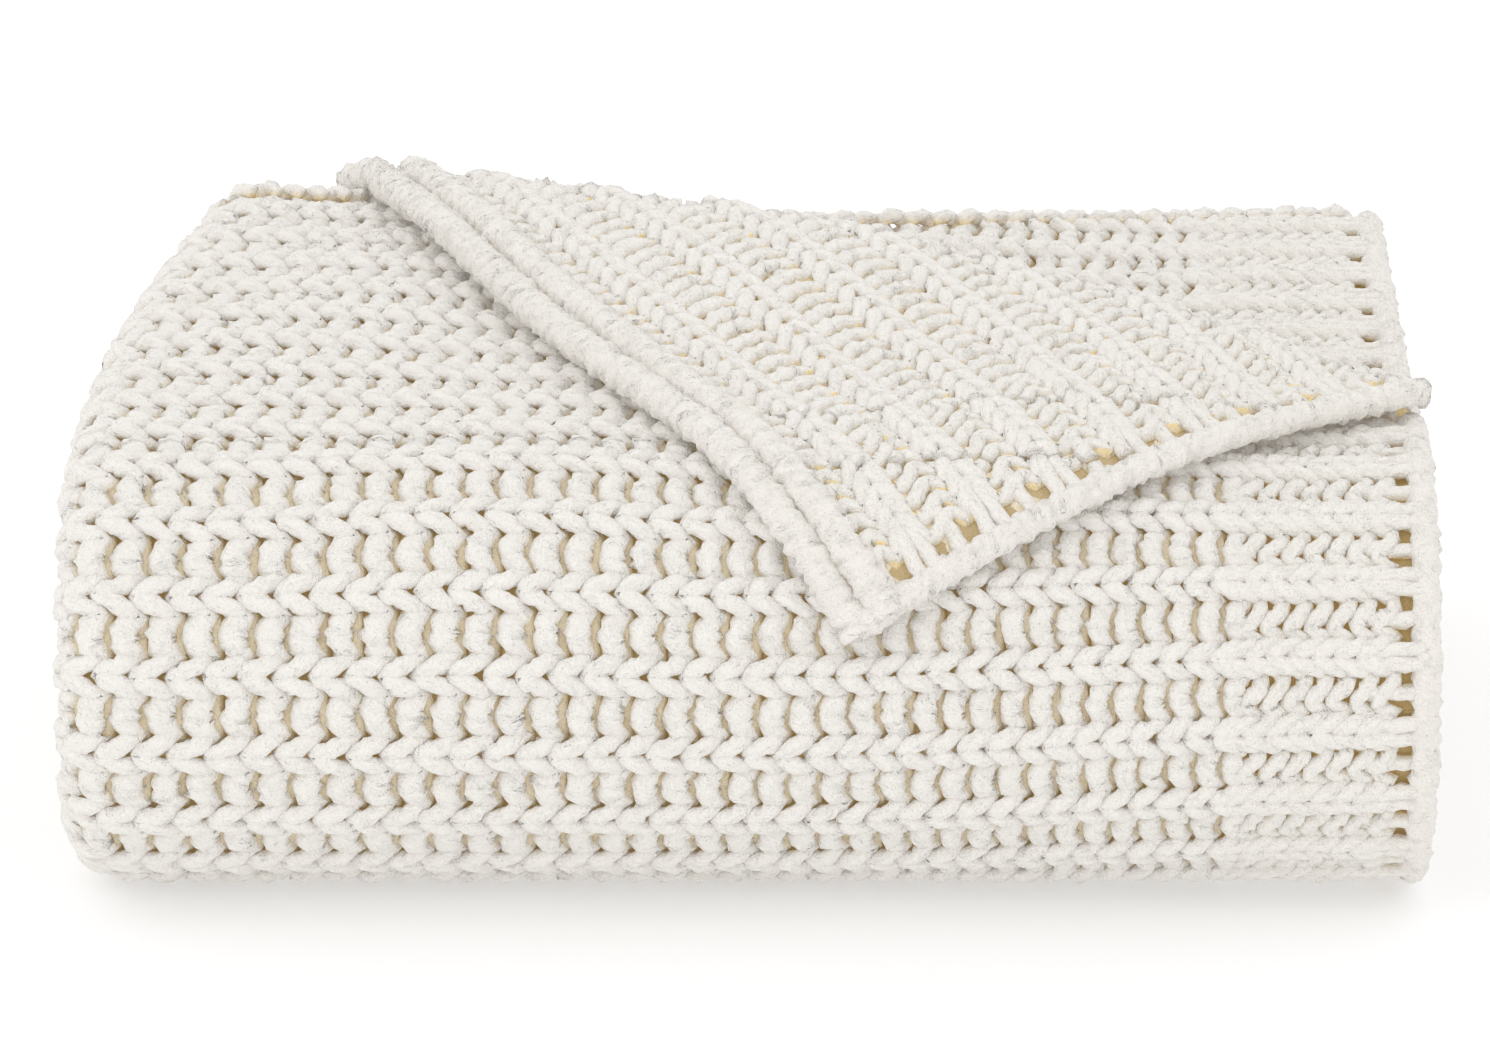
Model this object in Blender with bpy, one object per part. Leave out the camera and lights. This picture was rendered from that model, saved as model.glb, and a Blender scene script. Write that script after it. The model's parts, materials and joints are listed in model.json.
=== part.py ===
"""A knitted throw folded twice each way into sixteen layers, with the corner of its top leaf turned over.

The cloth is folded in half twice along its ribs, so every stack is four leaves thick, and then twice across
them, so the pile is four stacks high. The outer stack wraps the front in one round fold. Each solid is a
stretch of the one cloth between folds. Four hinges move it: the front fold, the turned corner and the two
bends that take the corner's tip round the front.
"""

from math import cos, radians, sin, tan

import bmesh
import bpy
from mathutils import Matrix, Vector

# ---- Driving sizes, in metres -------------------------------------------------------------------------------
PILE_WIDTH = 0.440        # X, along the ribs
PILE_DEPTH = 0.310        # Y, front fold to back edge
LEAF = 0.009375           # thickness of one leaf of cloth
GAP = 0.0003              # clearance between leaves that touch
BORDER = 0.068            # width of the flat-knit border at the raw ends
SELVEDGE = 0.014          # width of the rolled selvedge
FLAP_BACK = 0.378         # turned corner's leg along the back edge
FLAP_SIDE = 0.2144        # turned corner's leg along the right edge
TIP_BEND = radians(16)    # first bend of the hanging tip
TIP_CURL = radians(32)    # second bend
FRONT_STEPS = 8           # facets in a quarter of the front fold
ROLL_STEPS = 10           # facets in a half round

# ---- Sizes that follow --------------------------------------------------------------------------------------
STACK = 4 * LEAF                                  # four leaves, folded along the ribs
HALF_HEIGHT = 2 * STACK                           # two stacks in each half of the pile
PILE_HEIGHT = 2 * HALF_HEIGHT
RIGHT = PILE_WIDTH / 2
BACK = PILE_DEPTH / 2
FRONT = -PILE_DEPTH / 2
ROLL_X = -PILE_WIDTH / 2 + 2 * LEAF               # centre of the left folds
FRONT_Y = FRONT + HALF_HEIGHT                     # centre line of the front fold
BACK_Y = BACK - STACK                             # centre line of the back fold
BORDER_X = RIGHT - BORDER
SKIN = GAP / 2                                    # half a clearance, taken off each side
BACK_CORE = LEAF / 8                              # bend radius left inside the back fold

# The corner turns over a straight line from the back edge to the right edge.
CORNER = Vector((RIGHT, BACK))
FOLD_BACK = CORNER - Vector((FLAP_BACK, 0.0))
FOLD_RIGHT = CORNER - Vector((0.0, FLAP_SIDE))
FOLD_ALONG = (FOLD_RIGHT - FOLD_BACK).normalized()
TO_TIP = Vector((FOLD_ALONG.y, -FOLD_ALONG.x))    # level, square to the fold, towards the tip

# Past the front fold's centre line the tip follows straight lines that just touch the round.
FLAP_LOW = PILE_HEIGHT + SKIN
FLAP_HIGH = PILE_HEIGHT + LEAF - SKIN
TOUCHING = HALF_HEIGHT + SKIN
BEND_ROW = FRONT_Y - TOUCHING * tan(TIP_BEND / 2)
CURL_ROW = BEND_ROW - TOUCHING * (tan(TIP_BEND / 2) + tan(TIP_CURL / 2))

IVORY = (0.86, 0.835, 0.79)
CREAM = (0.83, 0.79, 0.72)
SHADED = (0.74, 0.69, 0.60)


# ---- Scene and materials ------------------------------------------------------------------------------------
def clear_scene():
    for old in list(bpy.data.objects):
        bpy.data.objects.remove(old, do_unlink=True)


def new_collection(name):
    collection = bpy.data.collections.new(name)
    bpy.context.scene.collection.children.link(collection)
    return collection


def knit_material(name, colour):
    """Soft chenille yarn: matt, with no metal."""
    material = bpy.data.materials.new(name)
    material.use_nodes = True
    shader = material.node_tree.nodes["Principled BSDF"]
    shader.inputs["Base Color"].default_value = (*colour, 1.0)
    shader.inputs["Roughness"].default_value = 0.95
    shader.inputs["Metallic"].default_value = 0.0
    return material


def finish_object(name, bm, colour, collection):
    """Turn a bmesh into a named object with a material of its own."""
    bmesh.ops.recalc_face_normals(bm, faces=bm.faces)
    mesh = bpy.data.meshes.new(name)
    bm.to_mesh(mesh)
    bm.free()
    piece = bpy.data.objects.new(name, mesh)
    collection.objects.link(piece)
    mesh.materials.append(knit_material(name, colour))
    mesh.shade_smooth()
    mesh.set_sharp_from_angle(angle=radians(40))
    return piece


# ---- Outlines across a stack, as (x, distance from the pile's mid plane) --------------------------------------
def strip(x_low, x_high, low, high):
    """A plain leaf: a rectangle."""
    return [(x_low, low), (x_high, low), (x_high, high), (x_low, high)]


def arc(centre_x, centre_rho, radius, start, end, steps=ROLL_STEPS):
    """Points on an arc, from start to end in degrees, counted anticlockwise from +x."""
    angles = [radians(start + (end - start) * i / steps) for i in range(steps + 1)]
    return [(centre_x + radius * cos(a), centre_rho + radius * sin(a)) for a in angles]


def rolled_layers(low, high, leaf_side):
    """Three leaves and the left roll of the whole stack. The fourth leaf, on leaf_side, is a piece of its own."""
    middle = (low + high) / 2
    radius = (high - low) / 2
    if leaf_side == "high":
        roll = arc(ROLL_X, middle, radius, 90, 270)
        return [(RIGHT, low), (RIGHT, high - LEAF - GAP), (ROLL_X, high - LEAF - GAP), *roll]
    roll = arc(ROLL_X, middle, radius, 270, 90)
    return [(RIGHT, high), (RIGHT, low + LEAF + GAP), (ROLL_X, low + LEAF + GAP), *roll]


def lower_pair(low, high):
    """The two inner leaves of the top stack: folded together at the right, and rolled round the left."""
    pair_high = high - 2 * LEAF - GAP
    radius = (pair_high - low) / 2
    right_fold = arc(RIGHT - radius, low + radius, radius, -90, 90)
    roll = arc(ROLL_X, (low + high) / 2, (high - low) / 2, 90, 270)
    return [*right_fold, (ROLL_X, pair_high), *roll]


# ---- Stations along the cloth: each carries an outline to its place ---------------------------------------------
def turned(y, z, degrees):
    """Outline plane at (y, z), its distance axis turned from straight up towards the front."""
    return Matrix.Translation((0.0, y, z)) @ Matrix.Rotation(radians(degrees), 4, "X")


def turn_stations(y, z, start, end, steps):
    return [turned(y, z, start + (end - start) * i / steps) for i in range(steps + 1)]


def upper_path(back_y):
    """From the back edge over the top to the front, as far as the mid plane."""
    return [turned(back_y, HALF_HEIGHT, 0), *turn_stations(FRONT_Y, HALF_HEIGHT, 0, 90, FRONT_STEPS)]


def lower_path(back_y):
    """From the front, below the mid plane, under to the back."""
    return [*turn_stations(FRONT_Y, HALF_HEIGHT, 90, 180, FRONT_STEPS), turned(back_y, HALF_HEIGHT, 180)]


def back_path():
    """Half a turn round the back fold, which joins the two lower stacks."""
    return turn_stations(BACK_Y + GAP, HALF_HEIGHT - STACK, 180, 360, 2 * FRONT_STEPS)


def swept(name, outline, stations, colour, collection):
    """Carry an outline through its stations, extruding its end face from each to the next."""
    bm = bmesh.new()
    corners = [bm.verts.new(stations[0] @ Vector((x, 0.0, rho))) for x, rho in outline]
    start_face = end_face = bm.faces.new(corners)
    for here, there in zip(stations, stations[1:]):
        passed = end_face
        grown = bmesh.ops.extrude_face_region(bm, geom=[passed])["geom"]
        end_face = next(item for item in grown if isinstance(item, bmesh.types.BMFace))
        bmesh.ops.transform(bm, matrix=there @ here.inverted(), verts=end_face.verts[:])
        if passed is not start_face:
            bmesh.ops.delete(bm, geom=[passed], context="FACES_ONLY")
    return finish_object(name, bm, colour, collection)


# ---- The mid plane: the halves meet there, half a clearance from it ---------------------------------------------
def trim_to_half(piece, upper):
    """Move the end face that meets the other half back by half a clearance."""
    limit = HALF_HEIGHT + (SKIN if upper else -SKIN)
    for vertex in piece.data.vertices:
        vertex.co.z = max(vertex.co.z, limit) if upper else min(vertex.co.z, limit)
    return piece


# ---- The turned corner ------------------------------------------------------------------------------------------
def keep_side(outline, point, normal):
    """The part of a convex outline on the side that normal points to."""
    kept = []
    for here, there in zip(outline, outline[1:] + outline[:1]):
        here_side = (here - point).dot(normal)
        there_side = (there - point).dot(normal)
        if here_side >= 0:
            kept.append(here)
        if here_side * there_side < 0:
            kept.append(here.lerp(there, here_side / (here_side - there_side)))
    return kept


def turned_over(point):
    """A point of the flat corner, reflected in the fold line."""
    return point + 2 * (FOLD_BACK - point).dot(TO_TIP) * TO_TIP


def corner_outline(part):
    """One part of the corner, turned over: its field, its border or its selvedge."""
    triangle = [FOLD_BACK, FOLD_RIGHT, CORNER]
    selvedge_line = Vector((0.0, BACK - SELVEDGE))
    border_line = Vector((BORDER_X, 0.0))
    if part == "selvedge":
        kept = keep_side(triangle, selvedge_line, Vector((0, 1)))
    else:
        kept = keep_side(triangle, selvedge_line - Vector((0, GAP)), Vector((0, -1)))
        if part == "border":
            kept = keep_side(kept, border_line, Vector((1, 0)))
        if part == "field":
            kept = keep_side(kept, border_line - Vector((GAP, 0)), Vector((-1, 0)))
    return [turned_over(point) for point in kept]


def whole_corner():
    return [turned_over(point) for point in (FOLD_BACK, FOLD_RIGHT, CORNER)]


def plate(outline, low, high):
    """A flat outline given a thickness."""
    bm = bmesh.new()
    face = bm.faces.new([bm.verts.new((point.x, point.y, low)) for point in outline])
    grown = bmesh.ops.extrude_face_region(bm, geom=[face])["geom"]
    top = [item for item in grown if isinstance(item, bmesh.types.BMVert)]
    bmesh.ops.translate(bm, vec=(0.0, 0.0, high - low), verts=top)
    return bm


def bent_down(row, angle):
    """A turn about a row of the flap's under surface, so that what lies ahead of it hangs down."""
    hinge = Matrix.Translation((0.0, row, FLAP_LOW))
    return hinge @ Matrix.Rotation(angle, 4, "X") @ hinge.inverted()


def build_flap(collection):
    """The corner's flat pieces, and the two pieces of its tip that hang round the front."""
    parts = {"corner_flap": "field", "flap_border": "border", "flap_selvedge": "selvedge"}
    for name, part in parts.items():
        flat = keep_side(corner_outline(part), Vector((0, BEND_ROW + SKIN)), Vector((0, 1)))
        finish_object(name, plate(flat, FLAP_LOW, FLAP_HIGH), CREAM, collection)
    hanging = keep_side(whole_corner(), Vector((0, BEND_ROW - SKIN)), Vector((0, -1)))
    first = plate(keep_side(hanging, Vector((0, CURL_ROW + SKIN)), Vector((0, 1))), FLAP_LOW, FLAP_HIGH)
    last = plate(keep_side(hanging, Vector((0, CURL_ROW - SKIN)), Vector((0, -1))), FLAP_LOW, FLAP_HIGH)
    bend = bent_down(BEND_ROW, TIP_BEND)
    bmesh.ops.transform(first, matrix=bend, verts=first.verts)
    bmesh.ops.transform(last, matrix=bend @ bent_down(CURL_ROW, TIP_CURL), verts=last.verts)
    finish_object("flap_tip", first, CREAM, collection)
    finish_object("flap_tip_end", last, CREAM, collection)


def corner_cutter(collection):
    """A block that removes the turned corner from the top leaf."""
    angle = FOLD_ALONG.angle_signed(Vector((1, 0)))
    bpy.ops.mesh.primitive_cube_add(size=1.0)
    cutter = bpy.context.object
    cutter.name = "corner_cutter"
    length = PILE_WIDTH + PILE_DEPTH
    centre = (FOLD_BACK + FOLD_RIGHT) / 2 - TO_TIP * (length / 2 - GAP)
    place = Matrix.Translation((centre.x, centre.y, PILE_HEIGHT))
    cutter.data.transform(place @ Matrix.Rotation(angle, 4, "Z") @ Matrix.Diagonal((2 * length, length, 4 * LEAF, 1)))
    for user in list(cutter.users_collection):
        user.objects.unlink(cutter)
    collection.objects.link(cutter)
    cutter.hide_render = True
    cutter.display_type = "WIRE"
    return cutter


def cut_corner(piece, cutter):
    cut = piece.modifiers.new("turned_corner", "BOOLEAN")
    cut.operation = "DIFFERENCE"
    cut.solver = "EXACT"
    cut.object = cutter


# ---- The two halves of the pile -----------------------------------------------------------------------------------
def build_lower_half(collection):
    outer_low, outer_high = STACK + SKIN, HALF_HEIGHT
    under = (outer_high - LEAF, outer_high)
    field = strip(ROLL_X + GAP, BORDER_X - GAP, *under)
    border = strip(BORDER_X, RIGHT, *under)
    layers = rolled_layers(outer_low, outer_high, "high")
    pieces = {
        "bottom_leaf": (field, lower_path(BACK_Y), IVORY),
        "bottom_border": (border, lower_path(BACK_Y), CREAM),
        "lower_outer_layers": (layers, lower_path(BACK_Y), SHADED),
        "lower_inner_layers": (rolled_layers(SKIN, STACK - SKIN, "low"), lower_path(BACK_Y), SHADED),
        "lower_inner_leaf": (strip(ROLL_X + GAP, RIGHT, SKIN, LEAF), lower_path(BACK_Y), IVORY),
    }
    for name, (outline, path, colour) in pieces.items():
        trim_to_half(swept(name, outline, path, colour, collection), upper=False)
    around = rolled_layers(BACK_CORE, STACK, "high")
    path = back_path()
    swept("back_fold_layers", around, path, SHADED, collection)
    swept("back_fold_leaf", strip(ROLL_X + GAP, RIGHT, STACK - LEAF, STACK), path, IVORY, collection)


def build_upper_half(collection, cutter):
    outer_low, outer_high = STACK + SKIN, HALF_HEIGHT
    top = (outer_high - LEAF, outer_high)
    second = (outer_high - 2 * LEAF, outer_high - LEAF - GAP)
    pieces = {
        "top_leaf": (strip(ROLL_X + GAP, BORDER_X - GAP, *top), IVORY),
        "top_border": (strip(BORDER_X, RIGHT, *top), CREAM),
        "second_leaf": (strip(ROLL_X + GAP, RIGHT, *second), IVORY),
        "upper_outer_layers": (lower_pair(outer_low, outer_high), SHADED),
        "upper_inner_layers": (rolled_layers(SKIN, STACK - SKIN, "low"), SHADED),
        "upper_inner_leaf": (strip(ROLL_X + GAP, RIGHT, SKIN, LEAF), IVORY),
    }
    for name, (outline, colour) in pieces.items():
        piece = trim_to_half(swept(name, outline, upper_path(BACK), colour, collection), upper=True)
        if name in ("top_leaf", "top_border"):
            cut_corner(piece, cutter)


def main():
    clear_scene()
    throw = new_collection("folded_throw_blanket")
    cutters = new_collection("cutters")
    build_lower_half(throw)
    build_upper_half(throw, corner_cutter(cutters))
    build_flap(throw)


main()
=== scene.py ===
# %% [markdown]
# # A chunky rib-knit throw, folded, with one corner turned over
# This script dresses the plain solids of a folded throw with knitted yarn. On the real throw one long chenille
# yarn is looped into a cloth, and the cloth is folded in half twice along its ribs and twice across them. So
# the script works the same way: it writes down how one stitch of yarn runs, repeats that stitch over the flat
# cloth, and then carries every point of yarn through the folds with one formula.

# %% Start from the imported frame
import json
import bpy
import numpy as np
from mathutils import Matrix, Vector


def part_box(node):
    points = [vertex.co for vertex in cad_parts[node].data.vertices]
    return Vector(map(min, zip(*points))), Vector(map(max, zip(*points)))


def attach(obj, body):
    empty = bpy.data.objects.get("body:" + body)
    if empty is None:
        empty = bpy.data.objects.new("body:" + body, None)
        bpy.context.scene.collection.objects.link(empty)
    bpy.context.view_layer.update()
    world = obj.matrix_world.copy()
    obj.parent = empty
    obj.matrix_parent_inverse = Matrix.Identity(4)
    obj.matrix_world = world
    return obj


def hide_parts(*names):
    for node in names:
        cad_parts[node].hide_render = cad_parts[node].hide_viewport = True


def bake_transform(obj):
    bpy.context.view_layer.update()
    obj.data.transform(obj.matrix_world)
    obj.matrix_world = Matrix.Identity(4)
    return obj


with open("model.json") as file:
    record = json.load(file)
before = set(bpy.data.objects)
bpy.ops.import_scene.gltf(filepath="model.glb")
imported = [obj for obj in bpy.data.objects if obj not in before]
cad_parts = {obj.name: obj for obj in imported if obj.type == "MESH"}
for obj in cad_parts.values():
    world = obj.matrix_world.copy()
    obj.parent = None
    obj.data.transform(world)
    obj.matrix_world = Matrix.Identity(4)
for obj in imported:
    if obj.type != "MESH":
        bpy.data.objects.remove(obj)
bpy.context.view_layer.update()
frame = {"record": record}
MM = 0.001
rng = np.random.default_rng(7)

# %% [markdown]
# ## Sizes
# The solids give the places. One leaf of cloth is as thick as two strands of yarn, four leaves lie in a stack,
# and two stacks lie in each half of the pile. Everything else is a multiple of a leaf.

# %% Sizes read from the solids
RIGHT = float(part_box("top_border")[1][0])
BACK = float(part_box("second_leaf")[1][1])
LEAF = 9.375 * MM
HALF = 8 * LEAF
TOP = 2 * HALF
FRONT_Y = float(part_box("bottom_leaf")[0][1]) + HALF
BACK_Y = BACK - 4 * LEAF
ROLL_X = float(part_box("lower_outer_layers")[0][0]) + 2 * LEAF
BORDER = RIGHT - float(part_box("bottom_border")[0][0])
print(f"right {RIGHT:.4f}  back {BACK:.4f}  front fold {FRONT_Y:.4f}  left folds {ROLL_X:.4f}  border {BORDER:.4f}")

# %% [markdown]
# ## Camera
# A long lens from the front, a little above: 22 degrees up, nearly three metres away, so that the pile looks
# almost without perspective.

# %% Camera
ELEVATION = np.radians(22.0)
DISTANCE = 2.9
target = Vector((0.0, 0.0, 0.0845))
eye = target + DISTANCE * Vector((0.0, -np.cos(ELEVATION), np.sin(ELEVATION)))
lens = bpy.data.cameras.new("front_camera")
lens.lens = 211.0
lens.sensor_width = 36.0
lens.clip_end = 20.0
camera = bpy.data.objects.new("front_camera", lens)
camera.location = eye
camera.rotation_euler = (target - eye).to_track_quat("-Z", "Y").to_euler()
bpy.context.scene.collection.objects.link(camera)
bpy.context.scene.camera = camera

# %% [markdown]
# ## Light and floor
# The throw lies in an even white studio. A bright surround fills every hollow, one wide soft light above the
# left gives the loops a lit side, and the floor is plain and nearly white. The floor gives off a little light
# itself, so that it stays as bright as the surround.

# %% Light and floor
def soft_light(name, place, size, watts, aim=(0.0, 0.0, 0.08)):
    light = bpy.data.lights.new(name, "AREA")
    light.size = size
    light.energy = watts
    lamp = bpy.data.objects.new(name, light)
    lamp.location = place
    lamp.rotation_euler = (Vector(aim) - Vector(place)).to_track_quat("-Z", "Y").to_euler()
    bpy.context.scene.collection.objects.link(lamp)


bpy.context.scene.view_settings.view_transform = "Standard"
world = bpy.data.worlds.new("studio")
bpy.context.scene.world = world
world.use_nodes = True
surround = world.node_tree.nodes["Background"]
surround.inputs["Color"].default_value = (1.0, 1.0, 1.0, 1.0)
surround.inputs["Strength"].default_value = 1.04
soft_light("high_left", (-1.0, -1.3, 1.7), 1.2, 5.0)

floor_mesh = bpy.data.meshes.new("floor")
floor_mesh.from_pydata([(-6, -6, 0), (6, -6, 0), (6, 6, 0), (-6, 6, 0)], [], [(0, 1, 2, 3)])
floor = bpy.data.objects.new("floor", floor_mesh)
bpy.context.scene.collection.objects.link(floor)
white = bpy.data.materials.new("floor_white")
white.use_nodes = True
floor_look = {"Base Color": (0.70, 0.70, 0.70, 1.0), "Emission Color": (1.0, 1.0, 1.0, 1.0),
              "Emission Strength": 0.34, "Specular IOR Level": 0.0, "Roughness": 0.9}
for socket, value in floor_look.items():
    white.node_tree.nodes["Principled BSDF"].inputs[socket].default_value = value
floor_mesh.materials.append(white)

# %% [markdown]
# ## The folds as one formula
# Two numbers say where a point is on the flat cloth: `q`, along the ribs from the raw right-hand edge of the
# top leaf, and `v`, which counts the stretches across them (0 to 1 over the top, 1 to 2 round the front, 2 to 3
# under the pile, 3 to 4 round the back, 4 to 5 forward again inside, 5 to 6 round the inner bend, 6 to 7 back
# to the other raw edge). A third number, `h`, is the height above the middle of the cloth. Folding along the
# ribs turns `q, h` into `x` and a distance from the pile's mid plane. Folding across them turns that distance
# and `v` into `y` and `z`.

# %% The two foldings
FLAT_LEAF = RIGHT - ROLL_X
SHORT_LEAF = FLAT_LEAF - LEAF
ALONG = np.cumsum([0, FLAT_LEAF, np.pi * 1.5 * LEAF, SHORT_LEAF, np.pi * 0.5 * LEAF, SHORT_LEAF,
                   np.pi * 0.5 * LEAF, FLAT_LEAF])


def folded_along(q, h):
    """Four leaves: the top one, a wide left turn, the lowest one, a right turn, the third, a tight left turn,
    the second. Straight runs add or take away x; each turn adds (radius + h) times sine and cosine."""
    wide, right, tight = (np.clip((q - ALONG[k]) / (r * LEAF), 0, np.pi) for k, r in ((1, 1.5), (3, 0.5), (5, 0.5)))
    run = [np.clip(q - ALONG[k], 0, ALONG[k + 1] - ALONG[k]) for k in (0, 2, 4, 6)]
    x = RIGHT - np.minimum(q, ALONG[1]) + run[1] - run[2] + run[3]
    x = x - (1.5 * LEAF + h) * np.sin(wide) + (0.5 * LEAF + h) * np.sin(right) - (0.5 * LEAF - h) * np.sin(tight)
    rho = 6 * LEAF + (1.5 * LEAF + h) * np.cos(wide)
    rho = rho + (0.5 * LEAF + h) * (1 - np.cos(right)) + (0.5 * LEAF - h) * (1 - np.cos(tight))
    return x, rho


def folded_across(rho, v):
    """Flat runs and three half turns. The front turn has its centre at the mid plane and radius rho, the back
    turn has radius rho less four leaves, and the inner bend has radius eight leaves less rho."""
    front, back, inner = (np.pi * np.clip(v - k, 0, 1) for k in (1, 3, 5))
    y = BACK - (BACK - FRONT_Y) * np.minimum(v, 1) + (BACK_Y - FRONT_Y) * np.clip(v - 2, 0, 1)
    y = y - (BACK_Y - FRONT_Y) * np.clip(v - 4, 0, 1) + (BACK - FRONT_Y) * np.clip(v - 6, 0, None)
    y = y - rho * np.sin(front) + (rho - 4 * LEAF) * np.sin(back) - (8 * LEAF - rho) * np.sin(inner)
    z = HALF + rho * np.cos(front) + (rho - 4 * LEAF) * (1 - np.cos(back)) + (8 * LEAF - rho) * (1 - np.cos(inner))
    return y, z


def stations(mid):
    """Cloth lengths at which each stretch begins, for a leaf whose middle is `mid` from the mid plane."""
    inner = max(8 * LEAF - mid, 2 * LEAF)
    return np.cumsum([0, BACK - FRONT_Y, np.pi * mid, BACK_Y - FRONT_Y, np.pi * (mid - 4 * LEAF), BACK_Y - FRONT_Y,
                      np.pi * inner, BACK - FRONT_Y])


MID_FIRST = 7.5 * LEAF
MID_SECOND = 6.5 * LEAF
MID_PAIR = 5.0 * LEAF
print("length along the ribs", round(float(ALONG[-1]), 3), " across", round(float(stations(6 * LEAF)[-1]), 3))

# %% [markdown]
# ## How the pile settles
# Nobody folds a soft throw into a perfect box. The back left shoulder has slumped inwards, and the surface
# rolls gently. A smooth shift of every point does it, small enough to keep each rib whole.

# %% Settling
SLUMP = 36 * MM


def smooth(value):
    value = np.clip(value, 0, 1)
    return value * value * (3 - 2 * value)


def settled(points):
    """Shift inwards grows with height above the mid plane and with distance back, and fades towards the middle.
    Two slow waves lift and lower the surface by about a millimetre."""
    x, y, z = points[..., 0], points[..., 1], points[..., 2]
    high = smooth((z - HALF) / HALF)
    far = np.clip((y - FRONT_Y) / (BACK - FRONT_Y), 0, 1) ** 2.2
    left = smooth((0.02 - x) / (0.02 - (ROLL_X - 2 * LEAF)))
    wave = 0.9 * MM * np.sin(31 * x + 17 * y) + 0.7 * MM * np.sin(23 * y - 41 * x + 1.0)
    lift = np.clip(z / (4 * LEAF), 0, 1)
    return np.stack([x + SLUMP * high * far * left, y + 0.5 * wave * high, z + wave * lift * high], axis=-1)


def on_pile(q, v, h):
    x, rho = folded_along(q, h)
    y, z = folded_across(rho, v)
    return settled(np.stack([x, y, z], axis=-1))

# %% [markdown]
# ## The turned corner
# The corner beyond the diagonal fold line is reflected in that line and lies one leaf higher. Between the two
# it runs round a roll one leaf thick. Past the front fold's centre line it bends down round the front.

# %% The turned corner
FLAP_BACK = 0.378
FLAP_SIDE = 0.2144
FOLD_BACK = np.array([RIGHT - FLAP_BACK, BACK])
FOLD_RIGHT = np.array([RIGHT, BACK - FLAP_SIDE])
FOLD_LENGTH = np.linalg.norm(FOLD_RIGHT - FOLD_BACK)
ALONG_FOLD = (FOLD_RIGHT - FOLD_BACK) / FOLD_LENGTH
TO_TIP = np.array([ALONG_FOLD[1], -ALONG_FOLD[0]])
ROLL = LEAF / 2
FLAP_LIFT = 0.6 * MM
PUFF_BACK = 20 * MM
PUFF_UP = 8 * MM
PUFF_FADE = 0.12


def past_fold(q, s):
    """Distance of a point of the flat top leaf past the fold line, towards the corner."""
    return -((RIGHT - q - FOLD_BACK[0]) * TO_TIP[0] + (BACK - s - FOLD_BACK[1]) * TO_TIP[1])


def puff(q, s, past):
    """The fold stands up and back in its middle: a half sine along it, fading over twelve centimetres."""
    along = ((RIGHT - q - FOLD_BACK[0]) * ALONG_FOLD[0] + (BACK - s - FOLD_BACK[1]) * ALONG_FOLD[1])
    bow = np.sin(np.pi * np.clip(along / FOLD_LENGTH, 0, 1))
    return bow * (1 - smooth(past / PUFF_FADE)) * smooth(1.3 + past / (np.pi * ROLL))


def on_flap(q, s, h):
    """Reflection in the fold line, a half turn of radius ROLL + h short of it, and a turn round the front."""
    past = past_fold(q, s)
    turn = np.pi + np.clip(past / ROLL, -np.pi, 0)
    shift = np.where(past > 0, 2 * past, past) - (ROLL + h) * np.sin(turn)
    x = RIGHT - q + shift * TO_TIP[0]
    y = BACK - s + shift * TO_TIP[1]
    z = TOP + FLAP_LIFT * (past > 0) - (ROLL + h) * np.cos(turn)
    ahead = np.clip(FRONT_Y - y, 0, None) / (HALF + ROLL)
    radius = z - HALF
    y = np.where(ahead > 0, FRONT_Y - radius * np.sin(ahead), y)
    z = np.where(ahead > 0, HALF + radius * np.cos(ahead), z)
    puffed = puff(q, s, past)
    x, y, z = x - PUFF_BACK * puffed * TO_TIP[0], y - PUFF_BACK * puffed * TO_TIP[1], z + PUFF_UP * puffed
    return settled(np.stack([x, y, z], axis=-1))


print("tip of the corner:", np.round(on_flap(np.array(0.0), np.array(0.0), np.array(0.0)), 4))

# %% [markdown]
# ## The yarn's colour, with painted shade and painted light
# Chenille is a cut pile: thousands of short fibres stand out of a core, so it is matt, soft at its outline and
# pale. Deep between the loops the light has passed through so much yarn that it turns warm tan. This shade is
# painted into the colour, which darkens to tan with depth, and a weak emitted glow is painted light. Each mesh
# carries two attributes: `depth`, from 0 at the back of a stitch to 1 at its crest, which sets how much painted
# shade and glow a point gets, and `rest_place`, where the point lies at rest, so that the fuzz stays on the yarn
# when a fold opens.

# %% Yarn materials
# CREST is the yarn's own colour. SHADE is painted shade, the warm tan that the colour runs to deep between the
# loops. GAP_GLOW and CREST_GLOW are painted light, given off by the yarn itself.
CREST = (0.86, 0.83, 0.785)
SHADE = (0.80, 0.66, 0.37)
GAP_GLOW = (0.20, 0.135, 0.045)
CREST_GLOW = 0.075


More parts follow.
